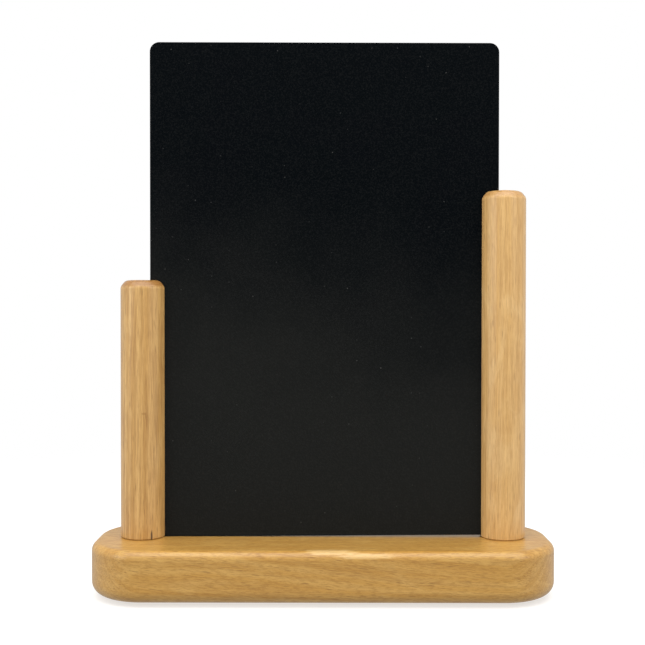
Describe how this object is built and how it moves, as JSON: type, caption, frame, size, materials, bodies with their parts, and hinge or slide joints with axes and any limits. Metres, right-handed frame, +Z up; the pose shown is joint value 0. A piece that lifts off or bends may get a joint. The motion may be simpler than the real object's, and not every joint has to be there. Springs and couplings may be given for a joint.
{
  "type": "table-top menu chalkboard easel",
  "caption": "Upright double-sided chalkboard held in slots of a short and a tall round wooden post on a rounded wooden base.",
  "frame": {"origin": "on the table, midway between the base's ends and its long faces", "axes": "+Z up, +X along the board's width towards the tall post, -Y towards the reader"},
  "size_m": [0.1938, 0.059, 0.233],
  "materials": {
    "lacquered_wood": "clear satin lacquer over honey-coloured hardwood",
    "dyed_fibreboard": "black-dyed fibreboard, matt sawn edge",
    "chalk_surface": "matt black writing surface",
    "screw_steel": "zinc plated",
    "felt": "dark brown pressed felt"
  },
  "bodies": {
    "stand": {"base": "lacquered_wood", "short_post": "lacquered_wood", "tall_post": "lacquered_wood", "short_post_screw": "screw_steel", "tall_post_screw": "screw_steel", "front_left_pad": "felt", "front_right_pad": "felt", "rear_left_pad": "felt", "rear_right_pad": "felt"},
    "board": {"board_core": "dyed_fibreboard", "front_writing_skin": "chalk_surface", "rear_writing_skin": "chalk_surface"}
  },
  "joints": [
    {"name": "board_lift", "type": "slide", "parent": "stand", "child": "board", "axis": [0, 0, 1], "range_m": [0, 0.15]}
  ]
}
